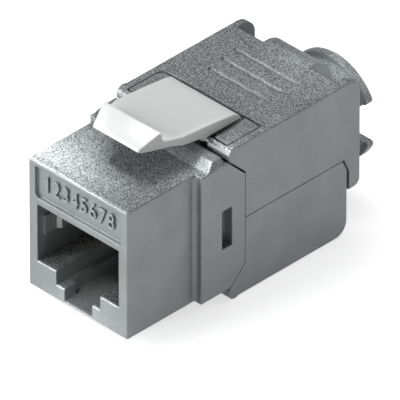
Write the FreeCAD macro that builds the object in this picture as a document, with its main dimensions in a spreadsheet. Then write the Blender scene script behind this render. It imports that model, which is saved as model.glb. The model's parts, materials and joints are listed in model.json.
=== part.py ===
import FreeCAD, Part
import Sketcher
import math
import os
import re

# Shielded tool-less keystone jack, in millimetres.
# Every piece is drawn in one working frame: X across, Y from the port face (Y = 0) to the cable end,
# Z up from the middle plane on which the two rear covers meet. Each body's Placement then moves it so
# that the row's origin lies in the middle of the footprint, on the surface the jack stands on.

SIZES = {
    # front block, which passes through the panel
    "block_width": 14.5,
    "block_height": 16.0,
    "block_depth": 9.9,
    "edge_round": 0.2,
    # flange behind the panel
    "shoulder": 1.0,
    "flange_depth": 6.34,
    "flange_root": 0.4,
    "ridge_setback": 0.9,
    "ridge_ramp": 1.2,
    "ridge_length": 2.4,
    "ridge_rise": 0.8,
    "ridge_bevel": 0.55,
    "sole_rise": 0.35,
    # side pocket in the flange
    "pocket_inset": 0.35,
    "pocket_length": 1.5,
    "pocket_height": 4.85,
    "pocket_depth": 1.2,
    # fixed hook under the block
    "hook_width": 9.0,
    "hook_length": 2.7,
    "hook_drop": 1.1,
    # port
    "port_width": 12.0,
    "port_height": 7.12,
    "port_floor": 0.35,
    "step_width": 6.5,
    "step_depth": 1.7,
    "slot_width": 4.1,
    "slot_depth": 1.5,
    "sill_length": 1.75,
    "slot_relief": 0.6,
    "face_wall": 1.2,
    "roof_wall": 1.6,
    # label recess over the port
    "label_margin": 0.6,
    "label_height": 3.9,
    "label_depth": 0.4,
    "label_corner": 0.45,
    # rear tube that carries the board
    "tube_wall": 0.75,
    "tube_length": 6.8,
    "tube_drop": 0.8,
    "tube_gap": 0.2,
    # covers
    "cover_wall": 0.95,
    "top_wall": 1.0,
    "seam": 0.08,
    "nose_gap": 0.2,
    "hinge_setback": 4.85,
    "hinge_rise": 0.6,
    "barrel_radius": 0.9,
    "cover_length": 15.85,
    "rear_wall": 1.0,
    "heel_length": 0.8,
    "lower_corner": 1.7,
    "ear_length": 2.7,
    "ear_round": 1.8,
    "ear_toe": 4.13,
    "ear_toe_round": 0.9,
    "ear_gap": 0.25,
    "step_drop": 1.65,
    "lobe_half": 3.4,
    "lobe_length": 3.3,
    "lobe_round": 2.8,
    "lobe_skin": 1.1,
    "top_round": 0.25,
    # grip grooves on the upper cover
    "groove_start": 8.21,
    "groove_pitch": 2.18,
    "groove_half": 4.0,
    "groove_growth": 0.33,
    "groove_width": 0.55,
    "groove_depth": 0.24,
    # split cable collar
    "collar_length": 7.4,
    "rim_thickness": 1.05,
    "rim_radius": 6.25,
    "neck_radius": 5.6,
    "cable_radius": 4.0,
    "upper_split": 2.5,
    "lower_split": 2.2,
    "rim_round": 0.2,
    "tip_round": 0.4,
    # hinges
    "pin_radius": 0.4,
    "pin_inset": 0.4,
    "knuckle_radius": 0.85,
    "knuckle_half": 3.8,
    "knuckle_gap": 0.2,
    "running_gap": 0.05,
    "fit_gap": 0.02,
    # window in the upper cover and the pad that fills it
    "window_length": 4.9,
    "window_corner": 0.8,
    "pad_gap": 0.2,
    "pad_near_gap": 0.06,
    "pad_front_gap": 0.27,
    "pad_drop": 0.08,
    "pad_lip": 0.4,
    "relief_depth": 0.6,
    # snap latch
    "latch_half": 4.9,
    "latch_tip_half": 4.15,
    "latch_nose_half": 3.3,
    "latch_reach": 9.25,
    "latch_crest_reach": 6.8,
    "latch_notch_reach": 6.45,
    "latch_shoulder_reach": 4.25,
    "latch_crest_rise": 3.15,
    "latch_nose_rise": 1.35,
    "latch_notch_rise": 2.05,
    "latch_skin": 0.75,
    "latch_tail": 4.45,
    "latch_toe_drop": 0.75,
    "latch_toe_thickness": 0.3,
    "latch_side_gap": 0.15,
    # contacts
    "contact_pitch": 1.016,
    "contact_width": 0.36,
    "contact_thick": 0.3,
    "contact_depth": 1.1,
    "contact_front": 2.7,
    "contact_turn": 1.2,
    "contact_drop": 4.9,
    "contact_reach": 8.1,
    "comb_slot": 0.62,
    "comb_rise": 0.23,
    "comb_front": 1.4,
    "inner_gap": 0.1,
    # ground springs in the port's walls
    "spring_front": 0.9,
    "spring_flat": 1.7,
    "spring_bump": 1.3,
    "spring_length": 6.5,
    "spring_height": 2.3,
    "spring_rise": 2.95,
    "spring_thick": 0.2,
    "spring_bow": 0.4,
    # circuit board and terminal blocks
    "carrier_wall": 2.0,
    "board_thick": 1.2,
    "board_gap": 0.15,
    "terminal_margin": 0.35,
    "terminal_length": 7.0,
    "terminal_half_height": 2.4,
    "terminal_thick": 0.4,
    "terminal_height": 2.6,
    "terminal_fork": 3.0,
    "terminal_slit": 0.35,
    # wire manager
    "manager_gap": 0.6,
    "manager_length": 4.9,
    "manager_bore": 3.5,
    "channel_width": 1.3,
    "channel_depth": 1.5,
}

# Places that several pieces share, each worked out from the sizes above.
HALF_BLOCK = "(block_width / 2)"
HALF_FLANGE = "(block_width / 2 + shoulder)"
TOP = "(block_height / 2)"
HINGE_Y = "(block_depth + hinge_setback)"
HINGE_Z = "(%s + hinge_rise)" % TOP
CROWN = "(%s + barrel_radius)" % HINGE_Z
SLANT = "(%s + %s)" % (HINGE_Y, HINGE_Z)
FLANGE_REAR = "(block_depth + flange_depth)"
RIDGE_REAR = "(block_depth + ridge_setback + ridge_length)"
INSIDE = "(%s - cover_wall)" % HALF_FLANGE
TUBE = "(%s - tube_gap)" % INSIDE
TUBE_HALF = "(%s - tube_drop)" % TOP
INSERT = "(%s - tube_wall - inner_gap)" % TUBE
INSERT_HALF = "(%s - tube_wall - inner_gap)" % TUBE_HALF
WINDOW = "(%s + inner_gap)" % INSIDE
WINDOW_REAR = "(%s + window_length)" % HINGE_Y
PAD_FRONT = "(%s - inner_gap / 2)" % HINGE_Y
PAD_REAR = "(%s - pad_gap)" % WINDOW_REAR
PAD_TOP = "(%s - pad_drop)" % CROWN
PORT_LOW = "(port_floor + slot_depth + step_depth - %s)" % TOP
PORT_HIGH = "(%s + port_height)" % PORT_LOW
ROOF = "(%s - roof_wall)" % TOP
LANE = "(%s - contact_depth)" % ROOF
CAVITY_END = "(%s + inner_gap)" % RIDGE_REAR
COVER_REAR = "(%s + cover_length)" % HINGE_Y
LOWER_REAR = "(%s + heel_length)" % COVER_REAR
EAR_REAR = "(%s + ear_length)" % COVER_REAR
LOBE_REAR = "(%s + lobe_length)" % COVER_REAR
COLLAR_REAR = "(%s + collar_length)" % COVER_REAR
LATCH_REAR = "(%s + latch_tail)" % HINGE_Y
LATCH_TOE = "(%s - latch_toe_drop)" % CROWN
CREST_Y = "(%s - latch_crest_reach)" % HINGE_Y
BOARD_FRONT = "(%s + carrier_wall + board_gap)" % CAVITY_END
BLOCK_FRONT = "(%s + board_thick + board_gap)" % BOARD_FRONT
BLOCK_REAR = "(%s + terminal_length)" % BLOCK_FRONT
BLOCK_HALF = "(%s - inner_gap)" % INSERT
TERMINAL_ROW = "(%s - terminal_margin - terminal_half_height)" % INSERT_HALF
TERMINAL_PITCH = "(%s * 0.49)" % BLOCK_HALF
MANAGER_HALF = "(%s - manager_gap)" % INSIDE
BELOW = "(-3 * %s)" % TOP
ABOVE = "(3 * %s)" % TOP

doc = FreeCAD.newDocument("keystone_jack")
sheet = doc.addObject("Spreadsheet::Sheet", "Sizes")
for row, (alias, size) in enumerate(SIZES.items(), start=1):
    sheet.set("A%d" % row, alias)
    sheet.set("B%d" % row, str(size))
    sheet.setAlias("B%d" % row, alias)
doc.recompute()


def sheet_name(word):
    """The word as it stands in an expression: a size gets the sheet's name put before it."""
    return "Sizes." + word.group() if word.group() in SIZES else word.group()


def bind(thing, path, text):
    """Tie a property to an expression in the names of SIZES."""
    thing.setExpression(path, re.sub(r"[a-z_]+", sheet_name, text))


def new_body(name):
    """An empty body at the common placement."""
    body = doc.addObject("PartDesign::Body", name)
    body.Label = name
    bind(body, "Placement.Base.y", "-%s / 2" % COLLAR_REAR)
    bind(body, "Placement.Base.z", CROWN)
    return body


def origin_item(body, role):
    return [item for item in body.Origin.OriginFeatures if item.Role == role][0]


def attach(feature, body, role, offset):
    """Sit a feature on one of its body's origin planes, shifted by three expressions."""
    feature.AttachmentSupport = [(origin_item(body, role), "")]
    feature.MapMode = "FlatFace"
    for letter, text in zip("xyz", offset):
        bind(feature, "AttachmentOffset.Base." + letter, text)


def block(body, name, x, y, z, cut=False):
    """A box between three pairs of limits, added to the body or cut from it."""
    kind = "PartDesign::SubtractiveBox" if cut else "PartDesign::AdditiveBox"
    box = body.newObject(kind, name)
    attach(box, body, "XY_Plane", (x[0], y[0], z[0]))
    for side, (low, high) in zip(("Length", "Width", "Height"), (x, y, z)):
        bind(box, side, "(%s) - (%s)" % (high, low))
    return box


def rod(body, name, along, centre, radius, span, cut=False):
    """A cylinder along X or Y, added to the body or cut from it."""
    kind = "PartDesign::SubtractiveCylinder" if cut else "PartDesign::AdditiveCylinder"
    cylinder = body.newObject(kind, name)
    low, high = span
    if along == "X":
        attach(cylinder, body, "YZ_Plane", (centre[0], centre[1], low))
    else:
        attach(cylinder, body, "XZ_Plane", (centre[0], centre[1], "-(%s)" % high))
    bind(cylinder, "Radius", radius)
    bind(cylinder, "Height", "(%s) - (%s)" % (high, low))


def outline(body, name, role, points, span, cut=False):
    """A closed outline on an origin plane, carried from the low to the high limit of the third axis."""
    low, high = span
    sketch = body.newObject("Sketcher::SketchObject", name + "_outline")
    start = "-(%s)" % high if role == "XZ_Plane" else low
    attach(sketch, body, role, ("0", "0", start))
    count = len(points)
    turn = 2 * math.pi / count
    ring = [FreeCAD.Vector(math.cos(i * turn), math.sin(i * turn), 0) for i in range(count)]
    for i in range(count):
        sketch.addGeometry(Part.LineSegment(ring[i], ring[(i + 1) % count]), False)
    for i in range(count):
        sketch.addConstraint(Sketcher.Constraint("Coincident", i, 2, (i + 1) % count, 1))
    for i, place in enumerate(points):
        for kind, text in zip(("DistanceX", "DistanceY"), place):
            held = sketch.addConstraint(Sketcher.Constraint(kind, -1, 1, i, 1, 1.0))
            bind(sketch, "Constraints[%d]" % held, text)
    feature = body.newObject("PartDesign::Pocket" if cut else "PartDesign::Pad", name)
    feature.Profile = sketch
    feature.Reversed = cut
    bind(feature, "Length", "(%s) - (%s)" % (high, low))


def repeat_across(body, feature, name, count, pitch):
    """Repeat a feature along X at the given pitch."""
    pattern = body.newObject("PartDesign::LinearPattern", name)
    pattern.Originals = [feature]
    pattern.Direction = (origin_item(body, "X_Axis"), [""])
    pattern.Occurrences = count
    bind(pattern, "Length", "%d * %s" % (count - 1, pitch))
    body.Tip = pattern


def both(half):
    """The limits of something centred on the middle plane."""
    return "-(%s)" % half, half


def mirrored(sign, points):
    """The outline's points with their second coordinate times sign ("" or "-")."""
    return [(first, "%s(%s)" % (sign, second)) for first, second in points]


def round_edges(body, name, radius, choose):
    """Round the edges of the body so far that choose(shape) returns."""
    doc.recompute()
    base = body.Tip
    chosen = choose(base.Shape)
    names = ["Edge%d" % (i + 1) for i, edge in enumerate(base.Shape.Edges)
             if any(edge.isSame(pick) for pick in chosen)]
    fillet = body.newObject("PartDesign::Fillet", name)
    fillet.Base = (base, names)
    bind(fillet, "Radius", radius)


def straight_edges(shape, axis):
    """The shape's straight edges that run along an axis."""
    found = []
    for edge in shape.Edges:
        if len(edge.Vertexes) == 2 and edge.Curve.TypeId == "Part::GeomLine":
            step = edge.Vertexes[1].Point - edge.Vertexes[0].Point
            if abs(abs(getattr(step, axis)) - step.Length) < 1e-6:
                found.append(edge)
    return found


def limits(shape, letter):
    """Lowest and highest corner of the shape along an axis."""
    places = [getattr(corner.Point, letter) for corner in shape.Vertexes]
    return min(places), max(places)


def at_limits(axis, first=None, **sides):
    """Chooses edges along an axis that lie on the shape's own limits: low, high or both, for each letter.
    With first, only those nearest the low end of that letter are kept."""
    def choose(shape):
        found = straight_edges(shape, axis)
        for letter, side in sides.items():
            low, high = limits(shape, letter)
            places = {"low": (low,), "high": (high,), "both": (low, high)}[side]
            found = [edge for edge in found
                     if any(abs(getattr(edge.CenterOfMass, letter) - place) < 1e-4 for place in places)]
        if first:
            start = min(getattr(edge.CenterOfMass, first) for edge in found)
            found = [edge for edge in found if getattr(edge.CenterOfMass, first) < start + 1e-4]
        return found
    return choose


def together(*choosers):
    return lambda shape: [edge for choose in choosers for edge in choose(shape)]


def front_block(body):
    """The block with rounded front edges, and the flange whose rear corners are cut on the covers' slant."""
    block(body, "port_block", both(HALF_BLOCK), ("0", "block_depth + 1"), both(TOP))
    round_edges(body, "block_edges", "edge_round",
                together(at_limits("y", x="both", z="both"), at_limits("x", y="low", z="both"),
                         at_limits("z", y="low", x="both")))
    upper = "(%s - (barrel_radius + nose_gap) * sqrt(2))" % SLANT
    lower = "(%s - (barrel_radius + seam) * sqrt(2))" % SLANT
    outline(body, "flange", "YZ_Plane",
            [("block_depth", "-" + TOP), ("block_depth", TOP), ("%s - %s" % (upper, TOP), TOP),
             (FLANGE_REAR, "%s - %s" % (upper, FLANGE_REAR)), (FLANGE_REAR, "%s - %s" % (FLANGE_REAR, lower)),
             ("%s - %s" % (lower, TOP), "-" + TOP)], both(HALF_FLANGE))
    round_edges(body, "flange_edges", "edge_round",
                together(at_limits("y", x="both", z="both"), at_limits("z", first="y", x="both")))
    for side, sign in (("right", ""), ("left", "-")):
        root = [("0.1 - 0.2", "0 - flange_root"), ("0", "0 - flange_root"),
                ("flange_root * 0.29", "0 - flange_root * 0.29"), ("flange_root", "0"), ("flange_root", "0.1"),
                ("0.1 - 0.2", "0.1")]
        points = [("%s(%s + %s)" % (sign, HALF_BLOCK, x), "block_depth + %s" % y) for x, y in root]
        outline(body, "flange_root_" + side, "XY_Plane", points, both(TOP + " - edge_round"))


def ridges(body):
    """The ramped ridge on top of the flange, the low one beneath, and the fixed hook under the block."""
    start = "block_depth + ridge_setback"
    peak = TOP + " + ridge_rise"
    outline(body, "ridge", "YZ_Plane",
            [(start, TOP + " - 0.1"), (start, TOP), (start + " + ridge_ramp", peak), (RIDGE_REAR, peak),
             (RIDGE_REAR, TOP + " - 0.1")], both(HALF_FLANGE + " - 0.01"))
    for side, sign in (("right", ""), ("left", "-")):
        outline(body, "ridge_bevel_" + side, "XZ_Plane",
                [("%s%s" % (sign, HALF_FLANGE), TOP), ("%s%s" % (sign, HALF_FLANGE), peak + " + 1"),
                 ("%s(%s - ridge_bevel)" % (sign, HALF_FLANGE), peak + " + 1"),
                 ("%s(%s - ridge_bevel)" % (sign, HALF_FLANGE), peak)],
                (start + " - 0.5", RIDGE_REAR + " + 0.5"), cut=True)
    block(body, "sole_ridge", both(HALF_FLANGE + " - ridge_bevel"),
          (start + " + ridge_ramp / 3", RIDGE_REAR + " - ridge_ramp / 4"),
          ("-(%s + sole_rise)" % TOP, "-(%s - 0.1)" % TOP))
    rear = "block_depth - 1.6"
    outline(body, "fixed_hook", "YZ_Plane",
            [(rear + " - hook_length", "-(%s - 0.1)" % TOP), (rear, "-(%s - 0.1)" % TOP),
             (rear, "-(%s + hook_drop)" % TOP), (rear + " - hook_length / 2", "-(%s + hook_drop)" % TOP)],
            both("hook_width / 2"))


def window_pad(body):
    """The pad that fills the cover's window: a lip over the hinge pin, a relief and a slot for the latch."""
    left = "-(%s - pad_near_gap)" % INSIDE
    right = "%s - pad_gap" % WINDOW
    corner = "window_corner"
    outline(body, "pad", "XY_Plane",
            [(left, HINGE_Y + " + barrel_radius + running_gap * 2"),
             (right, HINGE_Y + " + barrel_radius + running_gap * 2"), (right, PAD_REAR),
             (left + " + " + corner, PAD_REAR),
             (left + " + 0.29 * " + corner, PAD_REAR + " - 0.29 * " + corner),
             (left, PAD_REAR + " - " + corner)], (TUBE_HALF + " - 0.1", PAD_TOP))
    block(body, "pad_lip_plate", (left, right), (PAD_FRONT, HINGE_Y + " + barrel_radius + 0.2"),
          (PAD_TOP + " - pad_lip", PAD_TOP))
    low = PAD_TOP + " - relief_depth"
    high = CROWN + " + 1"
    outline(body, "latch_relief", "YZ_Plane",
            [(HINGE_Y + " - 0.5", high), (HINGE_Y + " - 0.5", low), (HINGE_Y, low),
             (LATCH_REAR + " - 0.5", PAD_TOP), (LATCH_REAR + " - 0.5", high)],
            both("latch_half + 2 * latch_side_gap"), cut=True)
    block(body, "toe_slot", both("latch_half + latch_side_gap"),
          (LATCH_REAR + " - latch_toe_thickness - latch_side_gap", PAD_REAR + " + 1"),
          (LATCH_TOE + " - latch_side_gap", high), cut=True)


def knuckles(body):
    for side, sign in (("upper", ""), ("lower", "-")):
        inner = "%s(%s - 0.3)" % (sign, TUBE_HALF)
        outer = sign + HINGE_Z
        web = (inner, outer) if sign == "" else (outer, inner)
        block(body, side + "_knuckle_web", both("knuckle_half"),
              (HINGE_Y + " - knuckle_radius", HINGE_Y + " + knuckle_radius"), web)
        rod(body, side + "_knuckle", "X", (HINGE_Y, outer), "knuckle_radius", both("knuckle_half"))
        rod(body, side + "_knuckle_bore", "X", (HINGE_Y, outer), "pin_radius + running_gap",
            both("knuckle_half + 1"), cut=True)


def sill_edges(shape):
    """The front edges of the port's two pairs of ledges: the two highest of those below the middle plane."""
    front = limits(shape, "y")[0]
    found = [edge for edge in straight_edges(shape, "x")
             if abs(edge.CenterOfMass.y - front) < 1e-4 and edge.CenterOfMass.z < 0]
    levels = sorted(set(round(edge.CenterOfMass.z, 4) for edge in found))[-2:]
    return [edge for edge in found if edge.CenterOfMass.z > levels[0] - 1e-3]


def port(body):
    """The stepped port, the room for the contact carrier, the tube's bore, label recess and side pockets."""
    half = "port_width / 2"
    block(body, "port", both(half), ("-1", CAVITY_END), (PORT_LOW, PORT_HIGH), cut=True)
    block(body, "key_step", both("step_width / 2"), ("-1", CAVITY_END),
          (PORT_LOW + " - step_depth", PORT_LOW + " + 0.5"), cut=True)
    block(body, "key_slot", both("slot_width / 2"), ("-1", CAVITY_END),
          (PORT_LOW + " - step_depth - slot_depth", PORT_LOW), cut=True)
    block(body, "slot_room", both("slot_width / 2 + slot_relief"), ("sill_length", CAVITY_END),
          (PORT_LOW + " - step_depth - slot_depth", PORT_LOW), cut=True)
    block(body, "carrier_room", both(half), ("face_wall", CAVITY_END), (PORT_HIGH + " - 0.5", ROOF), cut=True)
    block(body, "tube_bore", both(TUBE + " - tube_wall"),
          (CAVITY_END + " - inner_gap", RIDGE_REAR + " + tube_length + 1"), both(TUBE_HALF + " - tube_wall"),
          cut=True)
    edge = half + " + label_margin / 2"
    high = TOP + " - label_margin"
    low = high + " - label_height"
    outline(body, "label_recess", "XZ_Plane",
            [("label_corner - (%s)" % edge, low), (edge, low), (edge, high), ("-(%s)" % edge, high),
             ("-(%s)" % edge, low + " + label_corner")], ("-1", "label_depth"), cut=True)
    for side, span in (("right", (HALF_FLANGE + " - pocket_depth", HALF_FLANGE + " + 1")),
                       ("left", ("-(%s + 1)" % HALF_FLANGE, "pocket_depth - %s" % HALF_FLANGE))):
        front = RIDGE_REAR + " - pocket_inset"
        block(body, "side_pocket_" + side, span, (front, front + " + pocket_length"),
              ("-pocket_height / 2 - 0.07", "pocket_height / 2 - 0.07"), cut=True)
    round_edges(body, "sill_rounds", "edge_round", sill_edges)


def front_housing():
    """One zinc casting: block, flange, rear tube, hinge knuckles and the pad in the cover's window."""
    body = new_body("front_housing")
    front_block(body)
    ridges(body)
    block(body, "rear_tube", both(TUBE), (RIDGE_REAR + " - 0.2", RIDGE_REAR + " + tube_length"),
          both(TUBE_HALF))
    window_pad(body)
    knuckles(body)
    port(body)
    return body


def cover_nose(sign):
    """Corner points of a cover's slanted front edge, from the seam up to the hinge's crown."""
    reach = "barrel_radius / sqrt(2)"
    front = FLANGE_REAR + " + seam"
    slant = "(%s - barrel_radius * sqrt(2))" % SLANT
    return mirrored(sign, [(front, "seam / 2"), (front, "%s - (%s)" % (slant, front)),
                           (HINGE_Y + " - " + reach, HINGE_Z + " - " + reach), (HINGE_Y, CROWN)])


def collar(body, sign, start, split):
    """Half of the split cable collar: neck and rim, cleared between the two halves."""
    rod(body, "neck", "Y", ("0", "0"), "neck_radius", (start + " - rear_wall / 2", COLLAR_REAR))
    rod(body, "rim", "Y", ("0", "0"), "rim_radius", (COLLAR_REAR + " - rim_thickness", COLLAR_REAR))
    away = (BELOW, split) if sign == "" else ("-" + split, ABOVE)
    block(body, "collar_split", both(INSIDE + " - 0.05"), (COVER_REAR, COLLAR_REAR + " + 1"), away, cut=True)

    def tips(shape):
        rear = limits(shape, "y")[1]
        lengthwise = [edge for edge in straight_edges(shape, "y") if edge.CenterOfMass.y > rear - 1.5]
        reach = max(abs(edge.CenterOfMass.x) for edge in lengthwise)
        return [edge for edge in lengthwise if abs(edge.CenterOfMass.x) > reach - 1e-4]

    def rim_arcs(shape):
        rear = limits(shape, "y")[1]
        arcs = [edge for edge in shape.Edges if edge.Curve.TypeId == "Part::GeomCircle"]
        arcs = [edge for edge in arcs if abs(edge.CenterOfMass.y - rear) < 1e-4]
        return [max(arcs, key=lambda edge: edge.Curve.Radius)]
    round_edges(body, "collar_tips", "tip_round", tips)
    round_edges(body, "rim_edge", "rim_round", rim_arcs)


def upper_cover():
    """Zinc casting that swings up: side ears, window for the latch, lobe and half collar."""
    body = new_body("upper_cover")
    outline(body, "shell", "YZ_Plane",
            cover_nose("") + [(EAR_REAR, CROWN), (EAR_REAR, "-ear_toe"),
                              (LOWER_REAR + " + ear_gap", "-ear_toe"), (LOWER_REAR + " + ear_gap", "-step_drop"),
                              (COVER_REAR + " + ear_gap", "seam / 2")],
            both(HALF_FLANGE))
    round_edges(body, "ear_rounds", "ear_round", at_limits("x", y="high", z="high"))
    round_edges(body, "toe_rounds", "ear_toe_round", at_limits("x", y="high", z="low"))
    round_edges(body, "top_rounds", "top_round", at_limits("y", x="both", z="high"))
    rod(body, "nose", "X", (HINGE_Y, HINGE_Z), "barrel_radius", both(HALF_FLANGE))
    block(body, "inside", both(INSIDE), (HINGE_Y + " - 2", COVER_REAR + " - rear_wall"),
          (BELOW, CROWN + " - top_wall"), cut=True)
    block(body, "behind_wall", both(INSIDE), (COVER_REAR, EAR_REAR + " + 1"), (BELOW, CROWN + " + 1"),
          cut=True)
    rod(body, "front_bar", "X", (HINGE_Y, HINGE_Z), "barrel_radius", both(WINDOW))
    left = "-" + INSIDE
    front = PAD_FRONT + " - pad_front_gap"
    outline(body, "window", "XY_Plane",
            [(left, front), (WINDOW, front), (WINDOW, WINDOW_REAR), (left + " + window_corner", WINDOW_REAR),
             (left + " + 0.29 * window_corner", WINDOW_REAR + " - 0.29 * window_corner"),
             (left, WINDOW_REAR + " - window_corner")],
            (HINGE_Z + " - barrel_radius - 0.5", CROWN + " + 1"), cut=True)
    block(body, "latch_way", both("latch_half + latch_side_gap"), (HINGE_Y + " - 2", HINGE_Y),
          (HINGE_Z + " - barrel_radius - 0.5", CROWN + " + 1"), cut=True)
    rod(body, "pin_bore", "X", (HINGE_Y, HINGE_Z), "pin_radius + fit_gap",
        both(HALF_FLANGE + " - pin_inset + fit_gap"), cut=True)
    block(body, "lobe", both("lobe_half"), (COVER_REAR + " - rear_wall / 2", LOBE_REAR),
          ("cable_radius - 0.5", CROWN))
    round_edges(body, "lobe_round_edge", "lobe_round", at_limits("x", y="high", z="high"))
    collar(body, "", COVER_REAR, "upper_split")
    block(body, "wall_foot", both(INSIDE), (COVER_REAR + " - rear_wall - 0.1", COVER_REAR),
          (BELOW, "seam / 2"), cut=True)
    block(body, "lobe_hollow", both("lobe_half - lobe_skin"),
          (COVER_REAR + " - rear_wall - 0.5", LOBE_REAR + " - lobe_skin"),
          ("0.5", CROWN + " - lobe_skin"), cut=True)
    rod(body, "cable_bore", "Y", ("0", "0"), "cable_radius",
        (COVER_REAR + " - rear_wall - 0.5", COLLAR_REAR + " + 1"), cut=True)
    for i in range(3):
        start = "(%s + groove_start + %d * groove_pitch)" % (HINGE_Y, i)
        outline(body, "grip_groove_%d" % (i + 1), "YZ_Plane",
                [(start, CROWN + " + 0.2"), (start, CROWN), (start + " + groove_width * 0.6", CROWN + " - groove_depth"),
                 (start + " + groove_width", CROWN), (start + " + groove_width", CROWN + " + 0.2")],
                both("groove_half + %d * groove_growth" % i), cut=True)
    return body


def lower_cover():
    """Zinc casting that swings down, and on which the jack stands."""
    body = new_body("lower_cover")
    outline(body, "shell", "YZ_Plane",
            cover_nose("-") + [(LOWER_REAR, "-" + CROWN), (LOWER_REAR, "-step_drop - seam"),
                               (COVER_REAR, "-seam / 2")], both(HALF_FLANGE))
    round_edges(body, "heel_round", "lower_corner", at_limits("x", y="high", z="low"))
    round_edges(body, "bottom_rounds", "top_round", at_limits("y", x="both", z="low"))
    rod(body, "nose", "X", (HINGE_Y, "-" + HINGE_Z), "barrel_radius", both(HALF_FLANGE))
    block(body, "inside", both(INSIDE), (HINGE_Y + " - 2", COVER_REAR + " - rear_wall"),
          ("top_wall - %s" % CROWN, "1"), cut=True)
    rod(body, "front_bar", "X", (HINGE_Y, "-" + HINGE_Z), "barrel_radius", both(INSIDE + " + 0.05"))
    block(body, "knuckle_way", both("knuckle_half + knuckle_gap"),
          (HINGE_Y + " - 2", HINGE_Y + " + knuckle_radius + knuckle_gap"),
          ("-%s - 1" % CROWN, "barrel_radius + 0.5 - %s" % HINGE_Z), cut=True)
    rod(body, "pin_bore", "X", (HINGE_Y, "-" + HINGE_Z), "pin_radius + fit_gap",
        both(HALF_FLANGE + " - pin_inset + fit_gap"), cut=True)
    collar(body, "-", LOWER_REAR, "lower_split")
    rod(body, "cable_bore", "Y", ("0", "0"), "cable_radius",
        (COVER_REAR + " - rear_wall - 0.5", COLLAR_REAR + " + 1"), cut=True)
    return body


def hinge_pin(name, height):
    body = new_body(name)
    rod(body, "pin", "X", (HINGE_Y, height), "pin_radius", both(HALF_FLANGE + " - pin_inset"))
    return body


def latch():
    """Moulded snap latch: hooked nose, tapering plate, and a toe that rocks in the pad's slot."""
    body = new_body("latch")
    nose_y = "(%s - latch_reach)" % HINGE_Y
    notch_y = "(%s - latch_notch_reach)" % HINGE_Y
    shoulder_y = "(%s - latch_shoulder_reach)" % HINGE_Y
    nose_z = "(%s + latch_nose_rise)" % CROWN
    crest_z = "(%s + latch_crest_rise)" % CROWN
    notch_z = "(%s + latch_notch_rise)" % CROWN
    toe_front = "(%s - latch_toe_thickness)" % LATCH_REAR
    toe_centre = (LATCH_REAR + " - latch_toe_thickness / 2", LATCH_TOE + " + latch_toe_thickness / 2")
    outline(body, "plate", "YZ_Plane",
            [(nose_y + " + 0.45", nose_z + " - 0.1"), (nose_y, nose_z + " + 0.35"),
             (CREST_Y + " - 0.15", crest_z), (CREST_Y + " + 0.1", crest_z), (notch_y, notch_z),
             (notch_y + " + 0.5", notch_z + " - 0.13"), (shoulder_y, notch_z + " - 0.2"),
             (HINGE_Y, notch_z + " - 0.64"), (LATCH_REAR + " - 1.1", notch_z + " - 1.03"),
             (LATCH_REAR + " - 0.35", CROWN + " + 0.45"), (LATCH_REAR, CROWN + " - 0.1"),
             (LATCH_REAR, toe_centre[1]), (toe_front, toe_centre[1]), (toe_front, CROWN),
             (HINGE_Y + " - 0.65", CROWN), (HINGE_Y + " - 1.0", CROWN + " - 0.3"),
             (HINGE_Y + " - 1.3", CROWN + " - 0.3"), (HINGE_Y + " - 1.6", CROWN + " + 0.25"),
             (HINGE_Y + " - 2.35", CROWN + " + 0.37"), (shoulder_y + " + 0.4", CROWN + " + 0.6"),
             (notch_y + " + 0.9", CROWN + " + 1.0")], both("latch_half"))
    rod(body, "toe_bead", "X", toe_centre, "latch_toe_thickness / 2", both("latch_half"))
    for side, sign in (("right", ""), ("left", "-")):
        outline(body, "taper_" + side, "XY_Plane",
                [(sign + "latch_half", shoulder_y), (sign + "latch_tip_half", CREST_Y),
                 (sign + "latch_nose_half", nose_y + " - 0.2"), (sign + "latch_half * 2", nose_y + " - 0.2"),
                 (sign + "latch_half * 2", shoulder_y)], (TOP, crest_z + " + 1"), cut=True)
    room = "(knuckle_radius + 2 * knuckle_gap)"
    block(body, "knuckle_hollow", both("knuckle_half + knuckle_gap"), (HINGE_Y + " - 1.4", HINGE_Y + " + " + room),
          (LATCH_TOE + " - 1", notch_z + " - 0.64 - latch_skin"), cut=True)
    return body


def contact_carrier():
    """Moulded comb over the port, with the wall that closes the port at the rear."""
    body = new_body("contact_carrier")
    wall_end = CAVITY_END + " + carrier_wall"
    comb_low = PORT_HIGH + " + comb_rise"
    block(body, "comb", both("port_width / 2 - inner_gap"), ("comb_front", CAVITY_END + " + 0.1"),
          (comb_low, ROOF + " - inner_gap"))
    block(body, "rear_wall", both(INSERT), (CAVITY_END, wall_end), both(INSERT_HALF))
    slot = block(body, "comb_slot", ("-3.5 * contact_pitch - comb_slot / 2", "-3.5 * contact_pitch + comb_slot / 2"),
                 ("contact_front - 2 * inner_gap", wall_end + " + 1"),
                 (comb_low + " - 1", LANE + " + contact_thick + inner_gap"), cut=True)
    repeat_across(body, slot, "slot_row", 8, "contact_pitch")
    block(body, "slot_floor", both("4 * contact_pitch"), (CAVITY_END, wall_end),
          (comb_low + " - 1.5", LANE + " - inner_gap"))
    return body


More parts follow.
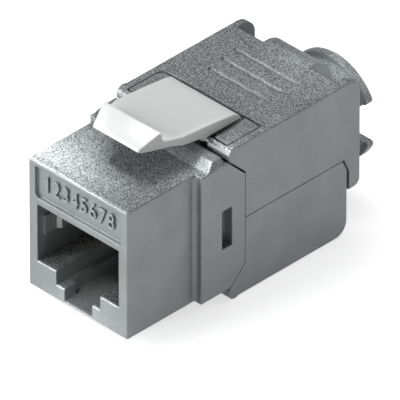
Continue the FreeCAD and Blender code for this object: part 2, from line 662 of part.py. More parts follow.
def contact(index):
    """One gold spring: tail to the board, forward lane, turn at the mouth, and the sprung slope."""
    body = new_body("contact_%d" % (index + 1))
    middle = "(%d - 3.5) * contact_pitch" % index
    tail = CAVITY_END + " + carrier_wall + board_gap - running_gap"
    bend = "(%s - contact_turn)" % LANE
    tip_y = "(contact_front + contact_reach)"
    tip_z = "(%s - contact_drop)" % LANE
    inner = "(contact_front + contact_thick)"
    outline(body, "spring", "YZ_Plane",
            [(tail, LANE), (tail, LANE + " + contact_thick"), (inner, LANE + " + contact_thick"),
             ("contact_front", LANE), ("contact_front", bend), ("contact_front + 0.2", bend + " - 0.45"),
             ("contact_front + contact_reach * 0.85", tip_z + " + 0.25"), (tip_y, tip_z),
             (tip_y, tip_z + " + contact_thick"),
             ("contact_front + contact_reach * 0.86", tip_z + " + 0.27 + contact_thick"),
             (inner + " + 0.12", bend + " - contact_thick * 0.45"), (inner, bend + " + 0.2"), (inner, LANE + " - 0.1"),
             (inner + " + 0.1", LANE)],
            ("%s - contact_width / 2" % middle, "%s + contact_width / 2" % middle))
    return body


def ground_spring(name, sign):
    """Shield spring along a side wall of the port: a flat tongue, a bump that touches the plug, and a tail."""
    body = new_body(name)
    wall = "port_width / 2 - inner_gap / 2"
    bend = "spring_front + spring_flat"
    peak = bend + " + spring_bump * 0.3"
    fall = bend + " + spring_bump"
    end = "spring_front + spring_length"
    low = PORT_LOW + " + spring_rise"
    outer = [(wall, "spring_front"), (wall, bend), (wall + " - spring_bow", peak),
             (wall + " - spring_bow * 0.8", fall), (wall, end)]
    sides = outer + [(x + " - spring_thick", y) for x, y in reversed(outer)]
    outline(body, "leaf", "XY_Plane", [("%s(%s)" % (sign, x), y) for x, y in sides], (low, low + " + spring_height"))
    return body


def circuit_board():
    body = new_body("circuit_board")
    block(body, "laminate", both(INSERT), (BOARD_FRONT, BOARD_FRONT + " + board_thick"), both(INSERT_HALF))
    return body


def terminal_block(name, sign):
    """Moulded block that holds four forked terminals."""
    body = new_body(name)
    row = sign + TERMINAL_ROW
    block(body, "moulding", both(BLOCK_HALF), (BLOCK_FRONT, BLOCK_REAR),
          (row + " - terminal_half_height", row + " + terminal_half_height"))
    half = "(terminal_thick / 2 + inner_gap)"
    slot = block(body, "terminal_slot",
                 ("-1.5 * %s - %s" % (TERMINAL_PITCH, half), "-1.5 * %s + %s" % (TERMINAL_PITCH, half)),
                 (BLOCK_FRONT + " - 1", BLOCK_REAR + " + 1"),
                 (row + " - terminal_height / 2 - inner_gap", row + " + terminal_height / 2 + inner_gap"), cut=True)
    repeat_across(body, slot, "slot_row", 4, TERMINAL_PITCH)
    return body


def terminal(index):
    """One forked blade; the first four sit in the upper block, the rest in the lower."""
    body = new_body("terminal_%d" % (index + 1))
    sign = "" if index < 4 else "-"
    middle = "(%d - 1.5) * %s" % (index % 4, TERMINAL_PITCH)
    row = sign + TERMINAL_ROW
    front = BOARD_FRONT + " + board_thick + running_gap"
    root = BLOCK_REAR + " - terminal_fork"
    outline(body, "fork", "YZ_Plane",
            [(front, row + " - terminal_height / 2"), (BLOCK_REAR, row + " - terminal_height / 2"),
             (BLOCK_REAR, row + " - terminal_slit"), (root, row + " - terminal_slit / 2"),
             (root, row + " + terminal_slit / 2"), (BLOCK_REAR, row + " + terminal_slit"),
             (BLOCK_REAR, row + " + terminal_height / 2"), (front, row + " + terminal_height / 2")],
            (middle + " - terminal_thick / 2", middle + " + terminal_thick / 2"))
    return body


def wire_manager():
    """Moulded cap that spreads the wires and presses them into the terminals."""
    body = new_body("wire_manager")
    front = BLOCK_REAR + " + board_gap"
    rear = front + " + manager_length"
    block(body, "cap", both(MANAGER_HALF), (front, rear), both(MANAGER_HALF))
    rod(body, "cable_way", "Y", ("0", "0"), "manager_bore", (front + " - 1", rear + " + 1"), cut=True)
    across = ("-1.5 * %s - channel_width / 2" % TERMINAL_PITCH, "-1.5 * %s + channel_width / 2" % TERMINAL_PITCH)
    for side, span in (("upper", (MANAGER_HALF + " - channel_depth", MANAGER_HALF + " + 1")),
                       ("lower", ("-(%s + 1)" % MANAGER_HALF, "channel_depth - " + MANAGER_HALF))):
        slot = block(body, side + "_channel", across, (front + " - 1", rear + " + 1"), span, cut=True)
        repeat_across(body, slot, side + "_channels", 4, TERMINAL_PITCH)
    return body


pieces = [front_housing(), upper_cover(), lower_cover(), hinge_pin("upper_hinge_pin", HINGE_Z),
          hinge_pin("lower_hinge_pin", "-" + HINGE_Z), latch(), contact_carrier(),
          ground_spring("ground_spring_left", "-"), ground_spring("ground_spring_right", ""),
          circuit_board(), terminal_block("terminal_block_upper", ""), terminal_block("terminal_block_lower", "-"),
          wire_manager()]
pieces += [contact(index) for index in range(8)]
pieces += [terminal(index) for index in range(8)]
doc.recompute()

broken = [item.Name for item in doc.Objects if "Invalid" in item.State or "Error" in item.State]
if broken:
    raise RuntimeError("these did not compute: " + ", ".join(broken))
os.makedirs("parts", exist_ok=True)
for piece in pieces:
    shape = piece.Shape
    if shape.isNull() or not shape.isValid():
        raise RuntimeError("%s has no valid shape" % piece.Label)
    shape.exportStep("parts/%s.step" % piece.Label)
    print("%-22s solids %d  volume %8.2f mm3" % (piece.Label, len(shape.Solids), shape.Volume))
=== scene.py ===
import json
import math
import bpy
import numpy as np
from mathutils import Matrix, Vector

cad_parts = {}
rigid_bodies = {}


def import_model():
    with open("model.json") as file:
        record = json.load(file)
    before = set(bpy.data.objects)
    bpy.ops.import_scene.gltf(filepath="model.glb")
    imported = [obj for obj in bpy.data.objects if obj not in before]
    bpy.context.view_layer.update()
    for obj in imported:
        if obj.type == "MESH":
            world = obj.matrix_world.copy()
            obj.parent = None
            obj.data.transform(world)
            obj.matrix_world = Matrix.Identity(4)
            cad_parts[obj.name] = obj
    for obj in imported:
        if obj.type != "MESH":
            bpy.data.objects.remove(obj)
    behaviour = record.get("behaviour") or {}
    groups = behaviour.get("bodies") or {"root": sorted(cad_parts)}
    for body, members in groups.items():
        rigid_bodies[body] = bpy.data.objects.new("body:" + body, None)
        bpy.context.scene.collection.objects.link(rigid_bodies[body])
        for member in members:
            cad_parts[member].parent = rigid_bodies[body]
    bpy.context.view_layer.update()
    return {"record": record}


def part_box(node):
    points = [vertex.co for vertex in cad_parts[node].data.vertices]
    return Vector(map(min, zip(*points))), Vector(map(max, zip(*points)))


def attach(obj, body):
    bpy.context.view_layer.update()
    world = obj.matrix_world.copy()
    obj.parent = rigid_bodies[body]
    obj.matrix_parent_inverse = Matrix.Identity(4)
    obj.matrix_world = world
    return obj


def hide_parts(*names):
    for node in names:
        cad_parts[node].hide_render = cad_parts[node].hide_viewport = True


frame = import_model()

# %% [markdown]
# # A shielded keystone jack
# The jack is a small network socket that snaps into a wall plate. Two metal covers close over the
# wires at its back and hold the cable in a split collar. The solids come from the CAD model, so
# this lesson adds what a solid can't say: the grain of a plated casting, the soft edges of a
# moulded latch, the raised numbers over the port, and the light that shows them.

MM = 0.001


# %% [markdown]
# ## Positions that the solids give
# Every new piece is placed from the boxes of the solids. They could be placed with measured
# numbers, but then a change of size would leave them behind. The port's face is the lowest Y of
# the front housing, and the middle plane on which the covers meet lies halfway up the closed
# pair.

# %% Read the positions
face_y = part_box("front_housing")[0].y
mid_z = (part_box("upper_cover")[1].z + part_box("lower_cover")[0].z) / 2
latch_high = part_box("latch")[1]
print("port face at y = %.2f mm, middle plane at z = %.2f mm" % (face_y / MM, mid_z / MM))
print("latch ends at y = %.2f mm, z = %.2f mm" % (latch_high.y / MM, latch_high.z / MM))


# %% [markdown]
# ## The grain of the casting
# The plating looks grainy because the casting under it is blasted: each tiny dimple tilts the
# surface and throws back its own glint. The grain could be modelled or painted, but thousands of
# dimples are heavy and a painted image has a seam. One node group makes it from two sizes of
# noise on the solid's own coordinates, and each metal sets how strong it is. The group gives out
# only numbers, and the Principled shader stays in the material.

# %% Helpers that build node trees
def start_group(name, inputs, outputs):
    """A shader node group with float inputs {name: default} and float outputs, ready to fill."""
    group = bpy.data.node_groups.new(name, "ShaderNodeTree")
    for label, default in inputs.items():
        socket = group.interface.new_socket(label, in_out="INPUT", socket_type="NodeSocketFloat")
        socket.default_value = default
    for label in outputs:
        group.interface.new_socket(label, in_out="OUTPUT", socket_type="NodeSocketFloat")
    return group, group.nodes.new("NodeGroupInput"), group.nodes.new("NodeGroupOutput")


def link_noise(nodes, links, vector, scale, detail):
    """A noise texture on the given vector; scale is in waves per metre."""
    noise = nodes.new("ShaderNodeTexNoise")
    noise.inputs["Scale"].default_value = scale
    noise.inputs["Detail"].default_value = detail
    links.new(vector, noise.inputs["Vector"])
    return noise.outputs["Fac"]


def calculate(nodes, links, operation, *values):
    """One Math node; each value is a socket or a number."""
    node = nodes.new("ShaderNodeMath")
    node.operation = operation
    for socket, value in zip(node.inputs, values):
        if isinstance(value, (int, float)):
            socket.default_value = value
        else:
            links.new(value, socket)
    return node.outputs[0]


print("node helpers:", start_group.__name__, link_noise.__name__, calculate.__name__)


# %% The grain group
# Noise is flat where height times scale is a whole number, and this scale keeps both top faces of
# the jack well away from such a level.
DIMPLES = 10770.0
CLOUDS = 260.0
# Painted glint: the grain's speckle is full on faces that look up and only this share on upright
# faces.
UPRIGHT_SHARE = 0.1
# Painted highlight: faces that look up and lie within these depths of the port's face are
# lightened.
HIGHLIGHT_FULL_TO, HIGHLIGHT_FADE_TO = 0.30 * MM, 0.42 * MM


def build_grain():
    """Grain = 0.5 + (fine noise - 0.5) * Contrast * (upright share + Lid); the Lid term is a
    painted glint that makes the speckle stronger on faces that look up, as under light from above;
    Cloud = slow drift; Lid = how far the face looks up, from 0 to 1; Painted highlight = Lid near
    the port's face, falling to nothing between the two highlight depths: a painted highlight on the
    front edges and ledges that look up."""
    group, entry, leave = start_group("blasted grain", {"Contrast": 1.0},
                                      ["Grain", "Cloud", "Lid", "Painted highlight"])
    nodes, links = group.nodes, group.links
    place = nodes.new("ShaderNodeTexCoord")
    fine = link_noise(nodes, links, place.outputs["Object"], DIMPLES, 1.0)
    slow = link_noise(nodes, links, place.outputs["Object"], CLOUDS, 3.0)
    tilt = nodes.new("ShaderNodeSeparateXYZ")
    links.new(place.outputs["Normal"], tilt.inputs[0])
    lid = calculate(nodes, links, "MAXIMUM", tilt.outputs["Z"], 0.0)
    spot = nodes.new("ShaderNodeSeparateXYZ")
    links.new(place.outputs["Object"], spot.inputs[0])
    band = nodes.new("ShaderNodeMapRange")
    band.inputs["From Min"].default_value = face_y + HIGHLIGHT_FADE_TO
    band.inputs["From Max"].default_value = face_y + HIGHLIGHT_FULL_TO
    links.new(spot.outputs["Y"], band.inputs["Value"])
    # Painted highlight on the front edges and ledges that look up.
    painted_highlight = calculate(nodes, links, "MULTIPLY", band.outputs[0], lid)
    # Painted glint: the speckle grows with Lid, as if light from above caught the dimples.
    facing = calculate(nodes, links, "ADD", lid, UPRIGHT_SHARE)
    swing = calculate(nodes, links, "SUBTRACT", fine, 0.5)
    swing = calculate(nodes, links, "MULTIPLY", swing, entry.outputs["Contrast"])
    swing = calculate(nodes, links, "MULTIPLY", swing, facing)
    grain = calculate(nodes, links, "ADD", swing, 0.5)
    for label, value in {"Grain": grain, "Cloud": slow, "Lid": lid, "Painted highlight": painted_highlight}.items():
        links.new(value, leave.inputs[label])
    return group


grain_group = build_grain()
print("group", grain_group.name, "with", len(grain_group.nodes), "nodes")


# %% [markdown]
# ## Plated metals
# The housing and covers are zinc castings with a dull nickel-grey plating. The pins, springs and
# wire terminals are bare steel, and the contacts are flashed with gold. A fully metallic shader
# would show mostly the room, and a blasted surface hardly mirrors at all, so the zinc and the
# steel are a little over half metallic. The grain drives a ramp of two tones and a small bump,
# and zinc edges get a rounded normal, which costs no faces and lets each cast edge catch the
# light.

# %% Helpers that start a material and raise its skin
def start_material(name):
    """A material with nodes: (material, its nodes, its links, its Principled shader)."""
    material = bpy.data.materials.new(name)
    material.use_nodes = True
    tree = material.node_tree
    return material, tree.nodes, tree.links, tree.nodes["Principled BSDF"]


def emboss(nodes, links, shader, height, strength, depth):
    """Join a Bump node of the given depth in metres to the shader's Normal."""
    relief = nodes.new("ShaderNodeBump")
    relief.inputs["Strength"].default_value = strength
    relief.inputs["Distance"].default_value = depth
    links.new(height, relief.inputs["Height"])
    links.new(relief.outputs[0], shader.inputs["Normal"])
    return relief


print("material helpers:", start_material.__name__, emboss.__name__)


# %% Plated zinc, spring steel and gold
CLOUD_SWING = 0.16
# How far the painted highlight on the front edges and ledges lifts the tone.
PAINTED_HIGHLIGHT_GAIN = 0.28
GRAIN_GLOSS = 0.15


def metal(name, dark, light, roughness, metallic, contrast, bump, shade=0.0, soft=0.0):
    """Tone = Grain + small Cloud - shade * Lid + gain * Painted highlight picks a colour between
    dark and light, and roughness falls a little as the tone rises. The shade term is painted shade
    that darkens faces which look up; the highlight term is a painted highlight. Height = Grain.
    Where soft is given, edges have a rounded normal of that radius."""
    material, nodes, links, shader = start_material(name)
    shader.inputs["Metallic"].default_value = metallic
    grain = nodes.new("ShaderNodeGroup")
    grain.node_tree = grain_group
    grain.inputs["Contrast"].default_value = contrast
    out = grain.outputs
    drift = calculate(nodes, links, "MULTIPLY_ADD", out["Cloud"], CLOUD_SWING, -CLOUD_SWING / 2)
    tone = calculate(nodes, links, "ADD", out["Grain"], drift)
    # Painted shade: faces that look up are darkened by shade times Lid.
    shaded = calculate(nodes, links, "MULTIPLY", out["Lid"], shade)
    tone = calculate(nodes, links, "SUBTRACT", tone, shaded)
    # Painted highlight: the front ledges that look up are made lighter.
    highlight_tone = calculate(nodes, links, "MULTIPLY", out["Painted highlight"], PAINTED_HIGHLIGHT_GAIN)
    tone = calculate(nodes, links, "ADD", tone, highlight_tone)
    ramp = nodes.new("ShaderNodeValToRGB")
    ramp.color_ramp.elements[0].color = (*dark, 1)
    ramp.color_ramp.elements[1].color = (*light, 1)
    links.new(tone, ramp.inputs[0])
    links.new(ramp.outputs[0], shader.inputs["Base Color"])
    roughest = roughness + GRAIN_GLOSS / 2
    rough = calculate(nodes, links, "MULTIPLY_ADD", tone, -GRAIN_GLOSS, roughest)
    links.new(rough, shader.inputs["Roughness"])
    relief = emboss(nodes, links, shader, out["Grain"], bump, 0.04 * MM)
    if soft:
        rounding = nodes.new("ShaderNodeBevel")
        rounding.samples = 8
        rounding.inputs["Radius"].default_value = soft
        links.new(rounding.outputs[0], relief.inputs["Normal"])
    return material


# shade paints the zinc's top faces darker as painted shade.
zinc = metal("plated zinc", dark=(0.03, 0.033, 0.0335), light=(0.63, 0.669, 0.675), roughness=0.42,
             metallic=0.6, contrast=2.95, bump=0.34, shade=0.085, soft=0.18 * MM)
cast_figures = metal("plated zinc figures", dark=(0.10, 0.107, 0.108), light=(0.63, 0.669, 0.675),
                     roughness=0.42, metallic=0.6, contrast=1.2, bump=0.2)
steel = metal("spring steel", dark=(0.30, 0.305, 0.31), light=(0.62, 0.625, 0.63), roughness=0.46,
              metallic=0.6, contrast=0.5, bump=0.2)
gold = metal("gold flash", dark=(0.60, 0.40, 0.12), light=(1.0, 0.78, 0.36), roughness=0.25,
             metallic=1.0, contrast=0.3, bump=0.1)
print("metals:", zinc.name, cast_figures.name, steel.name, gold.name)


# %% [markdown]
# ## Moulded plastics
# The latch and the wire guide are white, the contact carrier and terminal blocks black, and the
# circuit board is lacquered green. Moulded plastic has one colour, so a single value would nearly
# do. A slow drift of a few per cent and the fine skin that a spark-eroded mould leaves keep large
# plain faces from looking painted.

# %% Moulded plastics
DRIFT_WAVES, SKIN_WAVES = 180.0, 7000.0
DARKEST = 0.955
SKIN_SWING = 0.12


def plastic(name, colour, roughness, texture):
    """Colour = the given one times DARKEST to 1, by slow noise; roughness and height follow fine
    noise."""
    material, nodes, links, shader = start_material(name)
    place = nodes.new("ShaderNodeTexCoord")
    drift = link_noise(nodes, links, place.outputs["Object"], DRIFT_WAVES, 3.0)
    skin = link_noise(nodes, links, place.outputs["Object"], SKIN_WAVES, 2.0)
    ramp = nodes.new("ShaderNodeValToRGB")
    for element, factor in zip(ramp.color_ramp.elements, (DARKEST, 1.0)):
        element.color = (*(c * factor for c in colour), 1)
    links.new(drift, ramp.inputs[0])
    links.new(ramp.outputs[0], shader.inputs["Base Color"])
    smoothest = roughness - SKIN_SWING / 2
    rough = calculate(nodes, links, "MULTIPLY_ADD", skin, SKIN_SWING, smoothest)
    links.new(rough, shader.inputs["Roughness"])
    emboss(nodes, links, shader, skin, texture, 0.02 * MM)
    return material


white_plastic = plastic("white latch plastic", (0.89, 0.905, 0.90), roughness=0.38, texture=0.12)
black_plastic = plastic("black carrier plastic", (0.018, 0.018, 0.020), roughness=0.45, texture=0.4)
board_green = plastic("board lacquer", (0.020, 0.14, 0.06), roughness=0.30, texture=0.1)
print("plastics:", white_plastic.name, black_plastic.name, board_green.name)


# %% [markdown]
# ## Dress the solids
# Each solid is one cast, stamped or moulded part, so it needs one material all over. The record
# names the finish of each, and a short table turns that name into a material, which is safer than
# picking solids by hand.

# %% Give each solid its material
BY_SLOT = {"zinc": zinc, "steel": steel, "gold": gold, "white_plastic": white_plastic,
           "black_plastic": black_plastic, "board": board_green}
for entry in frame["record"]["subparts"]:
    for slot in bpy.data.objects[entry["node"]].material_slots:
        slot.material = BY_SLOT[entry["material_slot"]]


# %% [markdown]
# ## The snap latch
# The solid latch has the right length and hook but sharp bends. A moulded latch has none: every
# bend is a small arc and its long edges are softened all round. So its side view is drawn as two
# lines, one over the top and one along the underside, with the same number of stations on each.
# The pair is repeated across the width, drawn in a little near both sides, and the width narrows
# towards the hook. Stacking sections keeps the faces in even rows, which shade more smoothly than
# a bevel on sharp edges.

# %% Helpers that work on a line of points
def bend(corners, radii, steps=7):
    """A line of corners, each inner one replaced by a curve that starts and ends its radius away
    from the corner: (1-t)^2 start + 2t(1-t) corner + t^2 end, for t from 0 to 1."""
    corners = [np.array(corner, float) for corner in corners]
    t = np.linspace(0, 1, steps)[:, None]
    line = [corners[0]]
    for before, corner, after, radius in zip(corners, corners[1:], corners[2:], radii):
        start = corner + (before - corner) / np.linalg.norm(before - corner) * radius
        end = corner + (after - corner) / np.linalg.norm(after - corner) * radius
        line.append((1 - t) ** 2 * start + 2 * t * (1 - t) * corner + t ** 2 * end)
    line.append(corners[-1])
    return np.vstack(line)


def travelled(line):
    """How far along the line each of its points lies: the running sum of the steps between them."""
    return np.r_[0, np.cumsum(np.linalg.norm(np.diff(line, axis=0), axis=1))]


def pick(line, wanted):
    """Points at the wanted distances along a line, joined straight between its own points."""
    return np.column_stack([np.interp(wanted, travelled(line), line[:, i]) for i in (0, 1)])


def even(line, count):
    """The same line with its points spread evenly along its length."""
    return pick(line, np.linspace(0, travelled(line)[-1], count))


def level_with(line, partner, until):
    """Points on a line level with its partner's, y for y from their starts, up to a limit; then
    evenly to the line's end."""
    travel = travelled(line)
    level = np.interp(partner[:, 0] - partner[0, 0] + line[0, 0], line[:, 0], travel)
    last = np.searchsorted(partner[:, 0], until)
    rest = np.linspace(level[last], travel[-1], len(partner) - last)
    return pick(line, np.r_[level[:last], rest])


print("line helpers:", bend.__name__, even.__name__, level_with.__name__)


# %% The latch's side view, as (y, z) in mm from its rear end and its highest point
STATIONS = 130
HOOK_BACK = -8.7
over = bend([(-13.69, -1.64), (-13.62, -1.36), (-11.36, 0.0), (-11.14, 0.0), (-10.95, -1.05),
             (-10.35, -1.20), (-8.70, -1.30), (-4.45, -1.74), (-1.18, -2.14), (-0.50, -2.50),
             (-0.16, -3.10), (-0.02, -3.40), (-0.02, -3.86)],
            radii=[0.12, 0.16, 0.09, 0.30, 0.30, 0.8, 0.8, 0.40, 0.35, 0.15, 0.12])
under = bend([(-13.66, -1.68), (-13.24, -1.88), (-9.95, -2.14), (-8.30, -2.54), (-6.80, -2.77),
              (-6.05, -2.90), (-5.72, -3.42), (-5.46, -3.42), (-5.10, -3.14), (-0.31, -3.14),
              (-0.29, -3.80)],
             radii=[0.15, 0.5, 0.5, 0.4, 0.2, 0.15, 0.12, 0.15, 0.02])
top_line = even(over, STATIONS)
low_line = level_with(under, top_line, until=HOOK_BACK)
print("latch side view: %d stations, %.1f mm long" % (STATIONS, np.ptp(top_line[:, 0])))


# %% Carry the side view across the width
SOFT = 0.15
WIDTH_STATIONS, HALF_WIDTHS = [-13.9, -11.25, HOOK_BACK], [3.3, 4.15, 4.9]
KNUCKLES_FROM, KNUCKLES_TO, KNUCKLE_CLEARANCE = -5.66, -3.2, -2.49
STEP_OUTER, STEP_INNER, MIDDLE = 4.04, 4.0, 1.5


def latch_sections():
    """Section = top line, then the underside back. At a side angle a from 0 to 90 degrees it is
    drawn in by soft * (1 - sin a) along its normals and stands at x = half width - soft *
    (1 - cos a). The half width falls in straight lines from the shoulder to the crest and the
    nose. From the inner step to the middle, the underside is lifted clear of the hinge knuckles.
    The left half is the right half with x turned round, so the rows run from side to side."""
    ring = np.vstack([top_line, low_line[::-1]])
    along = np.roll(ring, -1, axis=0) - np.roll(ring, 1, axis=0)
    outward = np.column_stack([-along[:, 1], along[:, 0]]) / np.linalg.norm(along, axis=1)[:, None]
    half = np.interp(ring[:, 0], WIDTH_STATIONS, HALF_WIDTHS)
    a = np.linspace(0, math.pi / 2, 5)[:, None]
    inner = np.minimum(half - SOFT, [[STEP_OUTER], [STEP_INNER], [MIDDLE]])
    right = np.vstack([half - SOFT * (1 - np.cos(a)), inner])
    draw = np.vstack([SOFT * (1 - np.sin(a)), np.zeros((3, 1))])
    lifted = (np.arange(len(right)) >= len(right) - 2)[:, None]
    x = np.vstack([-right, right[::-1]])
    draw = np.vstack([draw, draw[::-1]])
    lifted = np.vstack([lifted, lifted[::-1]])
    side = ring - outward * draw[..., None]
    below = np.arange(len(ring)) >= STATIONS
    at_knuckles = below & (ring[:, 0] > KNUCKLES_FROM) & (ring[:, 0] < KNUCKLES_TO)
    side[..., 1] = np.where(lifted & at_knuckles, KNUCKLE_CLEARANCE, side[..., 1])
    return np.dstack([x, side])


sections = latch_sections()
print("latch sections: %d of %d points" % sections.shape[:2])


# %% Join the sections into a closed shell
SHARP_ANGLE = math.radians(38)


def put_in_scene(name, data):
    """A new object for a mesh, a lamp or a camera, linked to the scene."""
    thing = bpy.data.objects.new(name, data)
    bpy.context.scene.collection.objects.link(thing)
    return thing


def add_latch(material):
    """Quads join each section to the next, and the end faces are strips of quads between the two
    lines."""
    count, ring = sections.shape[:2]
    points = sections.reshape(-1, 3) * MM + [0, latch_high.y, latch_high.z]
    row, step = np.meshgrid(np.arange(count - 1), np.arange(ring), indexing="ij")
    after = (step + 1) % ring
    skin = np.stack([row * ring + step, (row + 1) * ring + step,
                     (row + 1) * ring + after, row * ring + after], -1)
    i = np.arange(STATIONS - 1)
    left = np.stack([i, i + 1, ring - 2 - i, ring - 1 - i], -1)
    right = left[:, ::-1] + (count - 1) * ring
    quads = np.vstack([skin.reshape(-1, 4), left, right])
    mesh = bpy.data.meshes.new("latch_shell")
    mesh.from_pydata(points.tolist(), [], quads.tolist())
    mesh.polygons.foreach_set("use_smooth", np.ones(len(quads), bool))
    mesh.set_sharp_from_angle(angle=SHARP_ANGLE)
    mesh.update()
    mesh.materials.append(material)
    return put_in_scene("latch_shell", mesh)


latch_shell = add_latch(white_plastic)
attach(latch_shell, "snap_latch")
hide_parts("latch")
print("latch shell:", len(latch_shell.data.polygons), "faces")


# %% [markdown]
# ## The numbers over the port
# The recess over the port carries raised characters, cast with the block. Here they are the plain
# contact numbers 1 to 8. They could be drawn stroke by stroke, but text gives good shapes for
# little work. It becomes a mesh before it is put in place, so nothing that follows depends on a
# font.

# %% Raised contact numbers
RECESS_DEPTH = 0.25 * MM
ABOVE_MIDDLE = 5.5 * MM
NARROW = 0.82


def add_numbers(material):
    """Text extruded by half its thickness each way, narrowed, turned to face the port side and
    shifted into the recess."""
    words = bpy.data.curves.new("contact numbers", "FONT")
    words.body = "12345678"
    words.align_x = "CENTER"
    words.align_y = "CENTER"
    words.size = 2.7 * MM
    words.space_character = 1.2
    words.offset = -0.03 * MM
    words.extrude = 0.07 * MM
    words.bevel_depth = 0.05 * MM
    words.bevel_resolution = 1
    words.resolution_u = 4
    holder = bpy.data.objects.new("contact_numbers", words)
    mesh = bpy.data.meshes.new_from_object(holder)
    bpy.data.objects.remove(holder)
    recess = Matrix.Translation((0, face_y + RECESS_DEPTH, mid_z + ABOVE_MIDDLE))
    upright = Matrix.Rotation(math.pi / 2, 4, "X")
    mesh.transform(recess @ upright @ Matrix.Diagonal((NARROW, 1, 1, 1)))
    mesh.materials.clear()
    mesh.materials.append(material)
    return put_in_scene("contact_numbers", mesh)


numbers = add_numbers(cast_figures)
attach(numbers, "housing")
print("numbers span", [round(c / MM, 2) for c in numbers.dimensions])


# %% [markdown]
# ## The white floor
# The jack stands on white paper. Paper lit to white by lamps would need so much light that the
# jack went pale too, so the paper glows a little for the camera and for mirror rays only. No more
# light reaches the jack, and its shadow stays on the paper.

# %% White floor
SEEN_GLOW, MIRRORED_GLOW = 0.62, 0.26
# The paper lies a hair below the jack's base, so that the two faces never share a level.
FLOOR_HALF, FLOOR_LEVEL = 3.0, -0.02 * MM


def floor_material():
    """Diffuse paper with a weak gloss, plus light that only the camera and mirror rays see."""
    material, nodes, links, shader = start_material("white paper")
    shader.inputs["Base Color"].default_value = (0.86, 0.86, 0.86, 1)
    shader.inputs["Roughness"].default_value = 0.22
    shader.inputs["Emission Color"].default_value = (1, 1, 1, 1)
    rays = nodes.new("ShaderNodeLightPath").outputs
    seen = calculate(nodes, links, "MULTIPLY", rays["Is Camera Ray"], SEEN_GLOW)
    mirrored = calculate(nodes, links, "MULTIPLY", rays["Is Glossy Ray"], MIRRORED_GLOW)
    glow = calculate(nodes, links, "ADD", seen, mirrored)
    links.new(glow, shader.inputs["Emission Strength"])
    return material


def add_card(name, corners, material):
    """One flat face for the set around the jack, which is no piece of it."""
    mesh = bpy.data.meshes.new(name)
    mesh.from_pydata([tuple(corner) for corner in corners], [], [(0, 1, 2, 3)])
    mesh.materials.append(material)
    card = put_in_scene(name, mesh)
    return card


floor = add_card("floor", [(x * FLOOR_HALF, y * FLOOR_HALF, FLOOR_LEVEL)
                           for x, y in ((-1, -1), (1, -1), (1, 1), (-1, 1))], floor_material())
print("floor half width:", floor.dimensions[0] / 2)


# %% [markdown]
# ## The sky
# A room of pale walls lights every side of the jack a little. A full white world would do that
# too, but it would wash out the shading, so the world is weak for the jack and white only for the
# camera and for rays that pass through something clear.

# %% World
SKY = 0.22
world = bpy.data.worlds.new("studio")
bpy.context.scene.world = world
world.use_nodes = True
sky_nodes, sky_links = world.node_tree.nodes, world.node_tree.links
rays = sky_nodes.new("ShaderNodeLightPath").outputs
seen = calculate(sky_nodes, sky_links, "MAXIMUM",
                 rays["Is Camera Ray"], rays["Is Transmission Ray"])
strength = calculate(sky_nodes, sky_links, "MULTIPLY_ADD", seen, 1 - SKY, SKY)
sky_nodes["Background"].inputs["Color"].default_value = (1, 1, 1, 1)
sky_links.new(strength, sky_nodes["Background"].inputs["Strength"])
print("sky strength", SKY)


# %% [markdown]
# ## The lamps
# A wide soft box at the front left makes the port's face the brightest upright side. A weak one
# behind on the right opens up the cable end, and a third high overhead lights the lid. Soft boxes
# alone leave a blasted casting flat, because the glints of its worn places are narrow. Four small
# spots with wholly soft edges add them: at the lid's front corner, on the collar, at the end of a
# ridge and on the port's sill. The strongest would also brighten the floor in front of the port,
# so a black card hangs in its beam, as a flag does in a studio.

# %% Lamps
GLINT_DISTANCE = 0.15
BULB_RADIUS = 0.004
JACK_MIDDLE = (0, 0, 0.01)


def place_lamp(name, lamp, place, target):
    """Hang a lamp at a place in metres, facing its target."""
    holder = put_in_scene(name, lamp)
    holder.location = place
    holder.rotation_euler = (Vector(target) - Vector(place)).to_track_quat("-Z", "Y").to_euler()
    return holder


def soft_box(name, place, size, power):
    """A square soft box that faces the jack's middle."""
    lamp = bpy.data.lights.new(name, "AREA")
    lamp.shape = "SQUARE"
    lamp.size = size
    lamp.energy = power
    return place_lamp(name, lamp, place, JACK_MIDDLE)


def glint(name, target, toward, radius, power):
    """A spot with a wholly soft edge: its beam has the given radius where it meets the target."""
    lamp = bpy.data.lights.new(name, "SPOT")
    lamp.energy = power
    lamp.spot_blend = 1.0
    lamp.spot_size = 2 * math.atan(radius / GLINT_DISTANCE)
    lamp.shadow_soft_size = BULB_RADIUS
    place = Vector(target) + Vector(toward).normalized() * GLINT_DISTANCE
    return place_lamp(name, lamp, place, target)


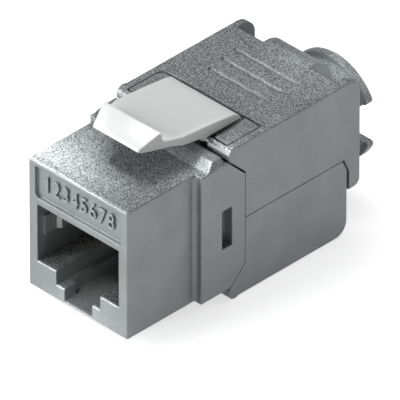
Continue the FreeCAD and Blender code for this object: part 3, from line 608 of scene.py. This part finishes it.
lid_corner = (-8.0 * MM, face_y - 1.2 * MM, mid_z + 8.0 * MM)
over_left = (-0.64, 0.14, 0.77)
collar_crown = (1.5 * MM, face_y + 35.6 * MM, mid_z + 6.0 * MM)
ridge_end = (6.3 * MM, face_y + 13.0 * MM, mid_z + 8.6 * MM)
sill = (0, face_y + 0.8 * MM, 0.5 * MM)
lamps = [soft_box("front_box", (-0.30, -0.60, 0.22), size=0.40, power=4.05),
         soft_box("back_box", (0.30, 0.50, 0.40), size=0.20, power=0.55),
         soft_box("top_box", (-0.24, 0.15, 0.78), size=0.50, power=2.3),
         glint("corner_glint", lid_corner, over_left, radius=9.1 * MM, power=2.8),
         glint("collar_glint", collar_crown, (0.10, -0.55, 0.83), radius=5.5 * MM, power=1.2),
         glint("ridge_glint", ridge_end, (-0.40, -0.45, 0.80), radius=3.0 * MM, power=1.6),
         glint("sill_glint", sill, (0.05, -0.50, 0.86), radius=4.0 * MM, power=1.4)]
print("lamps:", [lamp.name for lamp in lamps])


# %% A flag for the corner glint
def add_flag(target, toward, distance, margin, reach=0.02):
    """A card that hangs in the glint's beam and stops what would pass in front of the port. Its
    straight edge lies where rays bound for the block's front edge go by, so only shadow rays are
    let see it."""
    toward = Vector(toward).normalized()
    middle = Vector((target[0], face_y + margin, target[2])) + toward * distance
    across = Vector((1, 0, 0)).cross(toward).normalized()
    along = toward.cross(across)
    front = across if across.y < 0 else -across
    near, far = middle - along * reach, middle + along * reach
    card = add_card("flag", [near, far, far + front * reach, near + front * reach], black_plastic)
    for ray in ("camera", "diffuse", "glossy", "transmission", "volume_scatter"):
        setattr(card, "visible_" + ray, False)
    return card


flag = add_flag(lid_corner, over_left, distance=0.035, margin=0.2 * MM)
print("flag at", [round(c / MM, 1) for c in flag.data.vertices[0].co], "mm")


# %% [markdown]
# ## The camera
# The jack is seen from the front right and from above, so that the port, one side and the lid all
# show. A near camera with a short lens would make the port look larger than the cable end. A long
# lens far away keeps parallel edges almost parallel, as a parts catalogue does.

# %% Camera
AZIMUTH = math.radians(44.99)
ELEVATION = math.radians(34.94)
DISTANCE = 1.9075
LENS = 1650.0
SHIFT_RIGHT, SHIFT_DOWN = 0.617, 1.84
right = Vector((math.cos(AZIMUTH), math.sin(AZIMUTH), 0))
back = Vector((math.sin(AZIMUTH) * math.cos(ELEVATION), -math.cos(AZIMUTH) * math.cos(ELEVATION),
               math.sin(ELEVATION)))
up = back.cross(right)
aim = Vector((0, -2.0 * MM, 9.5 * MM)) + right * SHIFT_RIGHT * MM - up * SHIFT_DOWN * MM
camera = put_in_scene("camera", bpy.data.cameras.new("camera"))
turn = Matrix((right, up, back)).transposed().to_4x4()
camera.matrix_world = Matrix.Translation(aim + back * DISTANCE) @ turn
camera.data.lens = LENS
camera.data.clip_end = 20
bpy.context.scene.camera = camera
bpy.context.scene.view_settings.view_transform = "Standard"
print("camera at", [round(c, 3) for c in camera.location])
